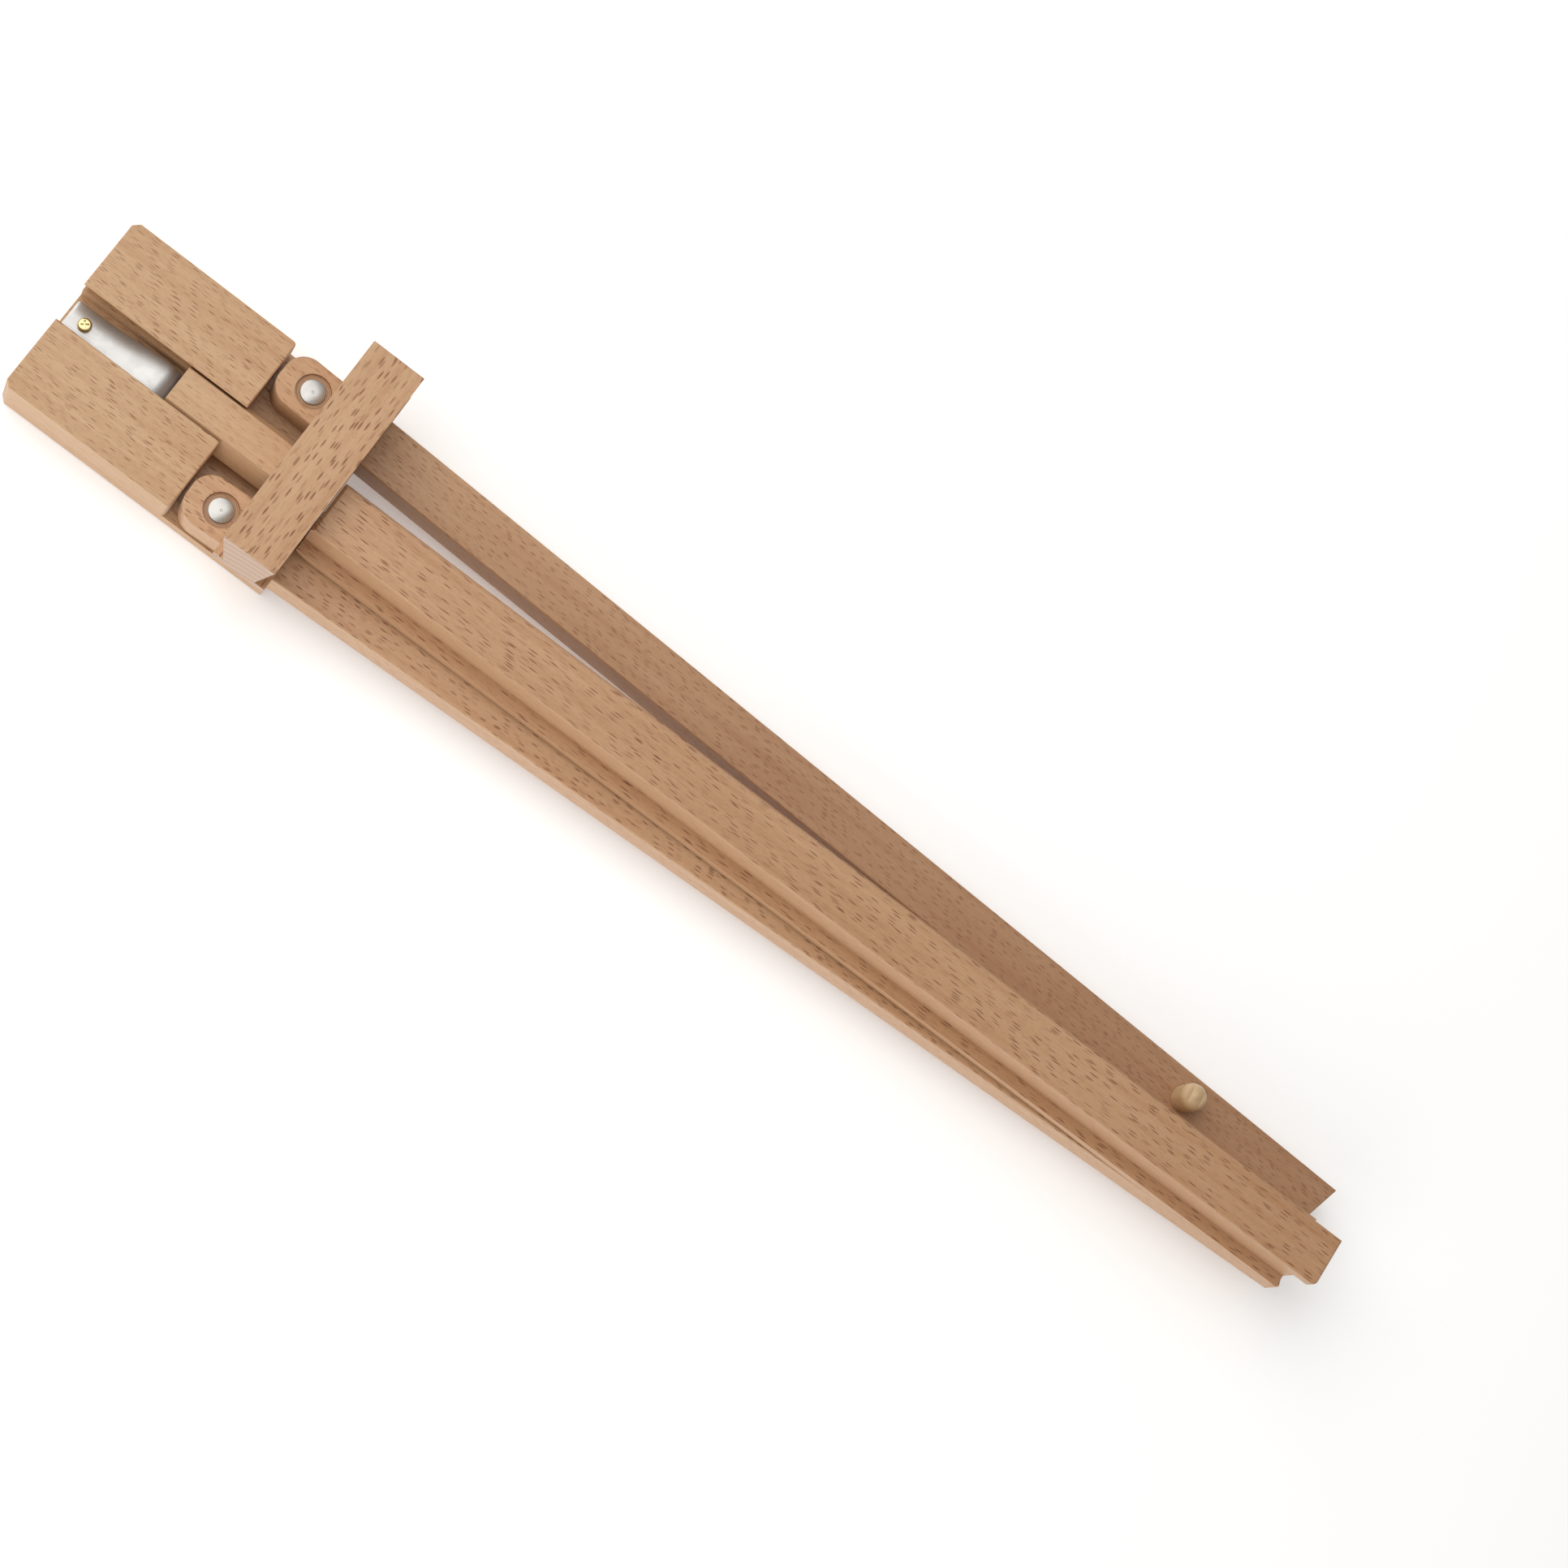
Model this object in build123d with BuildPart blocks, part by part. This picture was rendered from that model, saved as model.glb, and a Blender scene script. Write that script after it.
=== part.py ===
from build123d import *
import math
import os

# A folding three-legged stand of beech, lying folded. Two front legs turn on pins
# through a head board, a slider with a grooved crossbar runs in a channel on the
# head, and a rear prop leg lies on top of the front legs.
# X runs from the head toward the feet, Y is across, +Z is up. The origin is on the
# underside of the head board, midway between the two leg pins. All sizes are in mm.

# head board and the two jaws that form its channel
board_head_x = -65.6
board_foot_x = 21.7
board_width = 59.2
board_thickness = 4.6
board_corner_cut = 1.8
jaw_length = 54.2
jaw_top = 15.5
jaw_corner_round = 1.2
channel_mouth_width = 11.9
channel_wide_width = 18.0
channel_floor_width = 13.5
channel_ledge_z = 8.8

# slider: a dovetail tongue with the crossbar on top
tongue_head_x = -30.1
tongue_foot_x = 21.4
tongue_bottom = 4.9
tongue_top = 15.3
tongue_top_width = 10.5
tongue_wide_width = 17.0
tongue_low_width = 13.0
tongue_ledge_z = 9.1
tongue_groove_width = 10.7
tongue_groove_roof = 9.3
tongue_groove_end_x = 3.5
crossbar_x = 5.2
crossbar_width = 16.7
crossbar_length = 68.9
crossbar_centre_y = 1.5
crossbar_bottom = 15.8
crossbar_height = 22.1
crossbar_lip = 3.0
crossbar_groove_depth = 3.2

# leaf spring that presses the tongue up, and its screw
spring_width = 10.0
spring_thickness = 0.5
spring_head_x = -64.9
spring_screw_x = -59.6
spring_crown_x = -34.8
spring_crown_z = 8.6
spring_tip_length = 6.0

# front legs, their pins and washers
leg_pin_y = 21.3
leg_width = 15.6
leg_bottom = 4.9
leg_thickness = 10.4
leg_outer_length = 368.4
leg_rest_angle = 1.92
foot_angle = 15.0
ear_end_x = -10.3
ear_round = 6.2
leg_edge_round = 0.6
pin_radius = 3.6
pin_hole_radius = 3.65
pin_top = 15.0
pin_flange_radius = 5.0
pin_flange_height = 1.4
counterbore_radius = 5.1
counterbore_depth = 0.8
washer_radius = 6.5
washer_thickness = 0.25

# peg on the right leg that keeps the prop leg from sliding sideways
peg_radius = 4.0
peg_height = 9.5
peg_depth = 7.0
peg_dome = 1.6
peg_from_foot = 53.1

# rear prop leg, its pivot pin and the steel bracket that carries it
prop_start_x = 22.2
prop_end_x = 372.0
prop_centre_y = -6.9
prop_bottom = 15.8
prop_flange_width = 23.3
prop_flange_thickness = 3.6
prop_wall_width = 15.7
prop_top = 30.4
prop_foot_step = 5.9
prop_foot_tip_thickness = 4.0
prop_foot_round = 1.8
prop_edge_round = 0.8
pivot_inset = 6.0
pivot_rise = 8.6
prop_start_chamfer = 1.0
pivot_radius = 1.5
pivot_hole_radius = 1.55
pivot_deep_y = -12.5
lug_thickness = 3.0
lug_slot_width = 3.6
lug_radius = 3.0
lug_clearance = 0.6
bracket_head_x = 6.0
bracket_width = 14.0
bracket_thickness = 1.5

# screws
screw_radius = 1.5
screw_head_radius = 2.7
screw_head_height = 1.5
jaw_screw_length = 12.0
jaw_screw_xs = (-55.0, -23.0)
jaw_screw_y = 19.0
crossbar_screw_length = 21.0
crossbar_screw_gap = 6.0
small_screw_radius = 1.1
small_head_radius = 2.0
small_head_height = 1.4
small_countersink = 1.0
bracket_screw_length = 4.2
spring_screw_depth = 3.6
cross_length = 2.2
cross_width = 0.5
bracket_screw_x = 12.0
bracket_screw_gap = 8.0

edge_round = 0.5
sides = (("left", -1), ("right", 1))

# values that follow from the sizes above
board_half = board_width / 2
spring_seat_z = board_thickness + spring_thickness / 2
jaw_foot_x = board_head_x + jaw_length
leg_half = leg_width / 2
leg_top = leg_bottom + leg_thickness
leg_inner_length = leg_outer_length - leg_width * math.tan(math.radians(foot_angle))
crossbar_centre_x = crossbar_x + crossbar_width / 2
pivot_x = prop_start_x + pivot_inset
pivot_z = prop_bottom + pivot_rise
pivot_drop = math.sqrt(pivot_rise**2 - pivot_inset**2)
pivot_start_angle = 180 + math.degrees(math.acos(pivot_inset / pivot_rise))
prop_wall_side = prop_centre_y + prop_wall_width / 2
pin_spots = [(0, side * leg_pin_y) for _, side in sides]
jaw_screw_spots = [(x, side * jaw_screw_y) for x in jaw_screw_xs for _, side in sides]
crossbar_screw_spots = [(crossbar_centre_x + side * crossbar_screw_gap / 2, 0) for _, side in sides]
bracket_screw_spots = [
    (bracket_screw_x, prop_centre_y + side * bracket_screw_gap / 2) for _, side in sides
]
upward = (Align.CENTER, Align.CENTER, Align.MIN)


def screw(shank_radius, head_radius, head_height, length, mode=Mode.ADD):
    # a countersunk screw that points up, or the hole for it
    Cone(head_radius, shank_radius, head_height, align=upward, mode=mode)
    Cylinder(shank_radius, length, align=upward, mode=mode)


os.makedirs("parts", exist_ok=True)

# --- head board ---
with BuildPart() as base_board:
    with BuildSketch():
        with Locations(((board_head_x + board_foot_x) / 2, 0)):
            Rectangle(board_foot_x - board_head_x, board_width)
        chamfer(vertices().group_by(Axis.X)[0], board_corner_cut)
    extrude(amount=board_thickness)
    with BuildSketch():
        with Locations(*pin_spots):
            Circle(pin_radius)
    extrude(amount=board_thickness, mode=Mode.SUBTRACT)
    with BuildSketch():
        with Locations(*pin_spots):
            Circle(pin_flange_radius)
    extrude(amount=pin_flange_height, mode=Mode.SUBTRACT)
    with BuildSketch():
        with Locations(((bracket_head_x + board_foot_x) / 2, prop_centre_y)):
            Rectangle(board_foot_x - bracket_head_x, bracket_width)
    extrude(amount=bracket_thickness, mode=Mode.SUBTRACT)
    with Locations(*jaw_screw_spots):
        screw(screw_radius, screw_head_radius, screw_head_height, board_thickness, Mode.SUBTRACT)
    with Locations(*bracket_screw_spots):
        Cylinder(small_screw_radius, bracket_screw_length, align=upward, mode=Mode.SUBTRACT)
    with BuildSketch(Plane.XY.offset(board_thickness)):
        with Locations((spring_screw_x, 0)):
            Circle(small_screw_radius)
    extrude(amount=-spring_screw_depth, mode=Mode.SUBTRACT)
base_board.part.label = "base_board"
export_step(base_board.part, "parts/base_board.step")

# --- jaws: two blocks with undercut walls, glued and screwed to the board ---
for side_name, side in sides:
    with BuildPart() as jaw:
        with BuildSketch(Plane.YZ.offset(board_head_x)):
            with BuildLine():
                Polyline(
                    (side * channel_floor_width / 2, board_thickness),
                    (side * board_half, board_thickness),
                    (side * board_half, jaw_top),
                    (side * channel_mouth_width / 2, jaw_top),
                    (side * channel_wide_width / 2, channel_ledge_z),
                    (side * channel_floor_width / 2, channel_ledge_z),
                    close=True,
                )
            make_face()
        extrude(amount=jaw_length)
        head_corner = edges().filter_by(Axis.Z).sort_by_distance((board_head_x, side * board_half, jaw_top))[0]
        chamfer(head_corner, board_corner_cut)
        ear_corner = edges().filter_by(Axis.Z).sort_by_distance((jaw_foot_x, side * board_half, jaw_top))[0]
        fillet(ear_corner, jaw_corner_round)
        fillet(edges().group_by(Axis.Z)[-1], edge_round)
        with Locations(*[(x, side * jaw_screw_y) for x in jaw_screw_xs]):
            Cylinder(screw_radius, jaw_screw_length, align=upward, mode=Mode.SUBTRACT)
    jaw.part.label = f"jaw_{side_name}"
    export_step(jaw.part, f"parts/jaw_{side_name}.step")

with BuildPart() as jaw_screws:
    with Locations(*jaw_screw_spots):
        screw(screw_radius, screw_head_radius, screw_head_height, jaw_screw_length)
jaw_screws.part.label = "jaw_screws"
export_step(jaw_screws.part, "parts/jaw_screws.step")

# --- leaf spring: flat under its screw, bowed up to a crown, then bent down ---
with BuildPart() as leaf_spring:
    with BuildSketch(Plane.XZ.offset(-spring_width / 2)):
        with BuildLine():
            seat = Line((spring_head_x, spring_seat_z), (spring_screw_x + 3, spring_seat_z))
            rise = TangentArc(seat @ 1, seat @ 1 + (9, 1.3), tangent=seat % 1)
            crown = TangentArc(rise @ 1, (spring_crown_x, spring_crown_z), tangent=rise % 1)
            bend = TangentArc(crown @ 1, crown @ 1 + (2.2, -0.45), tangent=crown % 1)
            Line(bend @ 1, bend @ 1 + (bend % 1) * spring_tip_length)
        trace(line_width=spring_thickness)
    extrude(amount=spring_width)
    with Locations((spring_screw_x, 0, board_thickness)):
        Cylinder(small_screw_radius, 2 * spring_thickness, align=upward, mode=Mode.SUBTRACT)
leaf_spring.part.label = "leaf_spring"
export_step(leaf_spring.part, "parts/leaf_spring.step")

# pan-head screw with a cross recess
with BuildPart() as spring_screw:
    with Locations((spring_screw_x, 0, board_thickness + spring_thickness)):
        Cylinder(small_head_radius, small_head_height, align=upward)
    fillet(edges().group_by(Axis.Z)[-1], small_head_height / 2)
    with BuildSketch(Plane.XY.offset(board_thickness + spring_thickness + small_head_height)):
        with Locations((spring_screw_x, 0)):
            Rectangle(cross_length, cross_width)
            Rectangle(cross_width, cross_length)
    extrude(amount=-small_head_height / 2, mode=Mode.SUBTRACT)
    with Locations((spring_screw_x, 0, board_thickness - spring_screw_depth)):
        Cylinder(small_screw_radius, spring_screw_depth + spring_thickness, align=upward)
spring_screw.part.label = "spring_screw"
export_step(spring_screw.part, "parts/spring_screw.step")

# --- slider: tongue with dovetail flanks, grooved below to pass over the spring ---
with BuildPart() as slider_tongue:
    with BuildSketch(Plane.YZ.offset(tongue_head_x)):
        with BuildLine():
            Polyline(
                (0, tongue_bottom),
                (tongue_low_width / 2, tongue_bottom),
                (tongue_low_width / 2, tongue_ledge_z),
                (tongue_wide_width / 2, tongue_ledge_z),
                (tongue_top_width / 2, tongue_top),
                (0, tongue_top),
            )
            mirror(about=Plane.YZ)
        make_face()
    extrude(amount=tongue_foot_x - tongue_head_x)
    with BuildSketch(Plane.YZ.offset(tongue_head_x)):
        with Locations((0, (tongue_bottom + tongue_groove_roof) / 2)):
            Rectangle(tongue_groove_width, tongue_groove_roof - tongue_bottom)
    extrude(amount=tongue_groove_end_x - tongue_head_x, mode=Mode.SUBTRACT)
    with BuildSketch(Plane.XY.offset(tongue_top)):
        with Locations(((crossbar_x + tongue_foot_x) / 2, 0)):
            Rectangle(tongue_foot_x - crossbar_x, tongue_top_width)
    extrude(amount=crossbar_bottom - tongue_top)
    with Locations(*[(x, y, tongue_bottom) for x, y in crossbar_screw_spots]):
        screw(screw_radius, screw_head_radius, screw_head_height, crossbar_screw_length, Mode.SUBTRACT)
slider_tongue.part.label = "slider_tongue"
export_step(slider_tongue.part, "parts/slider_tongue.step")

# crossbar: a sloping groove with a lip below it along each long side
with BuildPart() as crossbar:
    with BuildSketch(Plane.XZ.offset(-crossbar_centre_y - crossbar_length / 2)):
        with BuildLine():
            Polyline(
                (crossbar_centre_x, crossbar_bottom),
                (crossbar_x, crossbar_bottom),
                (crossbar_x, crossbar_bottom + crossbar_lip),
                (crossbar_x + crossbar_groove_depth, crossbar_bottom + crossbar_lip),
                (crossbar_x, crossbar_bottom + crossbar_height),
                (crossbar_centre_x, crossbar_bottom + crossbar_height),
            )
            mirror(about=Plane.YZ.offset(crossbar_centre_x))
        make_face()
    extrude(amount=crossbar_length)
    chamfer(edges().filter_by(Axis.X).group_by(Axis.Z)[-1], edge_round)
    with Locations(*[(x, y, tongue_bottom) for x, y in crossbar_screw_spots]):
        Cylinder(screw_radius, crossbar_screw_length, align=upward, mode=Mode.SUBTRACT)
crossbar.part.label = "crossbar"
export_step(crossbar.part, "parts/crossbar.step")

with BuildPart() as crossbar_screws:
    with Locations(*[(x, y, tongue_bottom) for x, y in crossbar_screw_spots]):
        screw(screw_radius, screw_head_radius, screw_head_height, crossbar_screw_length)
crossbar_screws.part.label = "crossbar_screws"
export_step(crossbar_screws.part, "parts/crossbar_screws.step")

# --- front legs: round ear around the pin, slanted foot, each with its pin and washer ---
for side_name, side in sides:
    lean = math.radians(leg_rest_angle)
    leg_plane = Plane(
        origin=(0, side * leg_pin_y, leg_bottom),
        x_dir=(math.cos(lean), -side * math.sin(lean), 0),
        z_dir=(0, 0, 1),
    )
    with BuildPart() as leg:
        with BuildSketch(leg_plane):
            with BuildLine():
                Polyline(
                    (ear_end_x, side * leg_half),
                    (leg_outer_length, side * leg_half),
                    (leg_inner_length, -side * leg_half),
                    (ear_end_x, -side * leg_half),
                    close=True,
                )
            make_face()
            ear_corners = vertices().sort_by_distance((ear_end_x, 0, 0))[:2]
            fillet(ear_corners, ear_round)
        extrude(amount=leg_thickness)
        fillet(faces().sort_by(Axis.Z)[-1].edges(), leg_edge_round)
        fillet(faces().sort_by(Axis.Z)[0].edges(), leg_edge_round)
        with Locations((0, side * leg_pin_y, leg_top)):
            CounterBoreHole(pin_hole_radius, counterbore_radius, counterbore_depth)
        if side_name == "right":
            with BuildSketch(leg_plane.offset(leg_thickness)):
                with Locations((leg_outer_length - peg_from_foot, 0)):
                    Circle(peg_radius)
            extrude(amount=-peg_depth, mode=Mode.SUBTRACT)
    leg.part.label = f"leg_{side_name}"
    export_step(leg.part, f"parts/leg_{side_name}.step")

    with BuildPart() as hinge_pin:
        with Locations((0, side * leg_pin_y)):
            Cylinder(pin_flange_radius, pin_flange_height, align=upward)
            Cylinder(pin_radius, pin_top, align=upward)
        chamfer(edges().group_by(Axis.Z)[-1], edge_round)
    hinge_pin.part.label = f"hinge_pin_{side_name}"
    export_step(hinge_pin.part, f"parts/hinge_pin_{side_name}.step")

    with BuildPart() as washer:
        with BuildSketch(Plane.XY.offset(board_thickness)):
            with Locations((0, side * leg_pin_y)):
                Circle(washer_radius)
                Circle(pin_radius, mode=Mode.SUBTRACT)
        extrude(amount=washer_thickness)
    washer.part.label = f"thrust_washer_{side_name}"
    export_step(washer.part, f"parts/thrust_washer_{side_name}.step")

# peg with a low domed top, glued into the right leg
peg_lean = math.radians(leg_rest_angle)
peg_reach = leg_outer_length - peg_from_foot
peg_x = peg_reach * math.cos(peg_lean)
peg_y = leg_pin_y - peg_reach * math.sin(peg_lean)
dome_radius = (peg_radius**2 + peg_dome**2) / (2 * peg_dome)
dome_angle = math.asin(peg_radius / dome_radius) / 2
with BuildPart() as stop_peg:
    with BuildSketch(Plane(origin=(peg_x, peg_y, leg_top), x_dir=(1, 0, 0), z_dir=(0, -1, 0))):
        with BuildLine():
            Polyline((0, peg_height), (0, -peg_depth), (peg_radius, -peg_depth), (peg_radius, peg_height - peg_dome))
            ThreePointArc(
                (peg_radius, peg_height - peg_dome),
                (
                    dome_radius * math.sin(dome_angle),
                    peg_height - dome_radius * (1 - math.cos(dome_angle)),
                ),
                (0, peg_height),
            )
        make_face()
    revolve(axis=Axis((peg_x, peg_y, 0), (0, 0, 1)))
stop_peg.part.label = "stop_peg"
export_step(stop_peg.part, "parts/stop_peg.step")

# --- rear prop leg: an inverted T, rounded and slotted around its pivot ---
with BuildPart() as prop_leg:
    with BuildSketch(Plane.YZ.offset(prop_start_x)):
        with Locations((prop_centre_y, prop_bottom)):
            Rectangle(prop_flange_width, prop_flange_thickness, align=(Align.CENTER, Align.MIN))
            Rectangle(prop_wall_width, prop_top - prop_bottom, align=(Align.CENTER, Align.MIN))
    extrude(amount=prop_end_x - prop_start_x)
    with BuildSketch(Plane.XZ):
        with BuildLine():
            Polyline((prop_start_x, pivot_z - pivot_drop), (prop_start_x, prop_bottom), (pivot_x, prop_bottom))
            CenterArc((pivot_x, pivot_z), pivot_rise, pivot_start_angle, 270 - pivot_start_angle)
        make_face()
        with Locations((prop_end_x, prop_bottom)):
            Rectangle(
                prop_foot_step,
                prop_top - prop_foot_tip_thickness - prop_bottom,
                align=(Align.MAX, Align.MIN),
            )
    extrude(amount=prop_flange_width, both=True, mode=Mode.SUBTRACT)
    foot_corner = edges().filter_by(Axis.Z).sort_by_distance(
        (prop_end_x, prop_centre_y - prop_wall_width / 2, prop_top)
    )[0]
    fillet(foot_corner, prop_foot_round)
    chamfer(faces().sort_by(Axis.Z)[-1].edges().sort_by(Axis.X)[0], prop_start_chamfer)
    fillet(faces().sort_by(Axis.Z)[-1].edges().filter_by(Axis.X), prop_edge_round)
    with BuildSketch(Plane.XZ.offset(-prop_centre_y - lug_slot_width / 2)):
        with Locations((prop_start_x, prop_bottom)):
            Rectangle(
                pivot_inset + lug_radius + lug_clearance,
                pivot_rise + lug_radius + lug_clearance,
                align=(Align.MIN, Align.MIN),
            )
    extrude(amount=lug_slot_width, mode=Mode.SUBTRACT)
    with BuildSketch(Plane.XZ.offset(-prop_wall_side)):
        with Locations((pivot_x, pivot_z)):
            Circle(pivot_radius)
    extrude(amount=prop_wall_side - pivot_deep_y, mode=Mode.SUBTRACT)
prop_leg.part.label = "prop_leg"
export_step(prop_leg.part, "parts/prop_leg.step")

with BuildPart() as pivot_pin:
    with BuildSketch(Plane.XZ.offset(-prop_wall_side)):
        with Locations((pivot_x, pivot_z)):
            Circle(pivot_radius)
    extrude(amount=prop_wall_side - pivot_deep_y)
pivot_pin.part.label = "pivot_pin"
export_step(pivot_pin.part, "parts/pivot_pin.step")

# bracket: a plate let into the underside of the board, with a lug that rises between the legs
with BuildPart() as prop_bracket:
    with BuildSketch():
        with Locations((bracket_head_x, prop_centre_y)):
            Rectangle(
                pivot_x + lug_radius - bracket_head_x,
                bracket_width,
                align=(Align.MIN, Align.CENTER),
            )
    extrude(amount=bracket_thickness)
    with BuildSketch(Plane.XZ.offset(-prop_centre_y - lug_thickness / 2)):
        with Locations((pivot_x, 0)):
            Rectangle(2 * lug_radius, pivot_z, align=(Align.CENTER, Align.MIN))
        with Locations((pivot_x, pivot_z)):
            Circle(lug_radius)
            Circle(pivot_hole_radius, mode=Mode.SUBTRACT)
    extrude(amount=lug_thickness)
    with Locations(*bracket_screw_spots):
        screw(small_screw_radius, small_head_radius, small_countersink, bracket_screw_length, Mode.SUBTRACT)
prop_bracket.part.label = "prop_bracket"
export_step(prop_bracket.part, "parts/prop_bracket.step")

with BuildPart() as bracket_screws:
    with Locations(*bracket_screw_spots):
        screw(small_screw_radius, small_head_radius, small_countersink, bracket_screw_length)
bracket_screws.part.label = "bracket_screws"
export_step(bracket_screws.part, "parts/bracket_screws.step")
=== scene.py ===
import math
import bpy
import bmesh
from mathutils import Matrix, Vector


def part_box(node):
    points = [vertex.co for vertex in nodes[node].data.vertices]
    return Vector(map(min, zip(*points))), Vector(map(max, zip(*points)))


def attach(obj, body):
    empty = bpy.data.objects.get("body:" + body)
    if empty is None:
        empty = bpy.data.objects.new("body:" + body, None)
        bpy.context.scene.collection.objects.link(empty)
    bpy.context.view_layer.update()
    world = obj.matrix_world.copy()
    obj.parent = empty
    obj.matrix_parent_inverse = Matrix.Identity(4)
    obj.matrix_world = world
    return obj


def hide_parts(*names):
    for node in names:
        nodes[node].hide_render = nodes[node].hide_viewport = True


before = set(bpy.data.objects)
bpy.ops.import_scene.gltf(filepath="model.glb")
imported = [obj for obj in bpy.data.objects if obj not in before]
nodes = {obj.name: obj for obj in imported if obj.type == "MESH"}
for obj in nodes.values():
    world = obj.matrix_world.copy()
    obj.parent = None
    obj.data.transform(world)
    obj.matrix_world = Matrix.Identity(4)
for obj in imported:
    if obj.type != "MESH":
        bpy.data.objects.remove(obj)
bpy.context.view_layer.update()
mm = 0.001
print("frame loaded:", len(nodes), "nodes")


def srgb(code):
    # sRGB hex to a linear colour with alpha
    parts = [int(code[i:i + 2], 16) / 255 for i in (1, 3, 5)]
    return [p / 12.92 if p <= 0.04045 else ((p + 0.055) / 1.055) ** 2.4 for p in parts] + [1.0]


def addNode(tree, kind, inputs, **settings):
    # adds a node, sets it, and links or fills its inputs
    node = tree.nodes.new(kind)
    for key, value in settings.items():
        setattr(node, key, value)
    for key, value in inputs.items():
        if isinstance(value, bpy.types.NodeSocket):
            tree.links.new(value, node.inputs[key])
        else:
            node.inputs[key].default_value = value
    return node


def newMaterial(name):
    # a new material with its node tree and its shader
    material = bpy.data.materials.new(name)
    material.use_nodes = True
    return material, material.node_tree, material.node_tree.nodes["Principled BSDF"]


def dress(node, material):
    # gives a CAD node its material
    slots = nodes[node].data.materials
    slots.clear()
    slots.append(material)


def perCell(size):
    # how often a cell of this size in millimetres repeats in a metre
    return tuple(1.0 / (s * mm) for s in size)


# a texture wave of scale 1 repeats every 0.314 units
waveRepeat = 0.314

# European beech, planed, sanded and thinly lacquered: even warm tan with short dark ray
# flecks along the grain, and matt, greyer, ringed end grain
beech = {
    "tan": "#C59F77",
    "tanWarm": "#B1845A",
    "quarter": "#CCA781",       # the boards' narrow faces, with finer and paler grain
    "fleck": "#764325",
    "endGrain": "#CBAE98",
    "endRing": "#A98B78",
    "burnt": "#7E5333",         # the turned ledge round a pin
    "burntRing": "#B98F66",
    # sizes in millimetres: along the grain, across it, and into the board
    "wanderCell": (40, 12, 12),
    "wander": (6.0, 1.5, 1.5),
    "fibreCell": (26.0, 0.4, 0.4),     # coarser than real fibres, so that they show
    "streakCell": (60.0, 1.6, 1.6),
    "cloudCell": (70.0, 12.0, 12.0),
    "poreCell": (0.35, 0.35, 0.35),
    "ringSpacing": 6.0,
    "endRingSpacing": 3.6,
    "cutterRingSpacing": 0.5,
    "footShadeSpan": (20, 170),       # painted shade that darkens a stick toward its foot deepens between these
    "fleckRelief": 0.1,
    "stagger": 0.7,             # each row of flecks starts this much of a row further on
    # how strongly each pattern warms the tan
    "fibreWarmth": 0.34,
    "streakWarmth": 0.26,
    "cloudWarmth": 0.3,
    "ringWarmth": 0.22,
    "roughness": 0.44,
    "fleckRoughness": 0.64,
}


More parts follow.
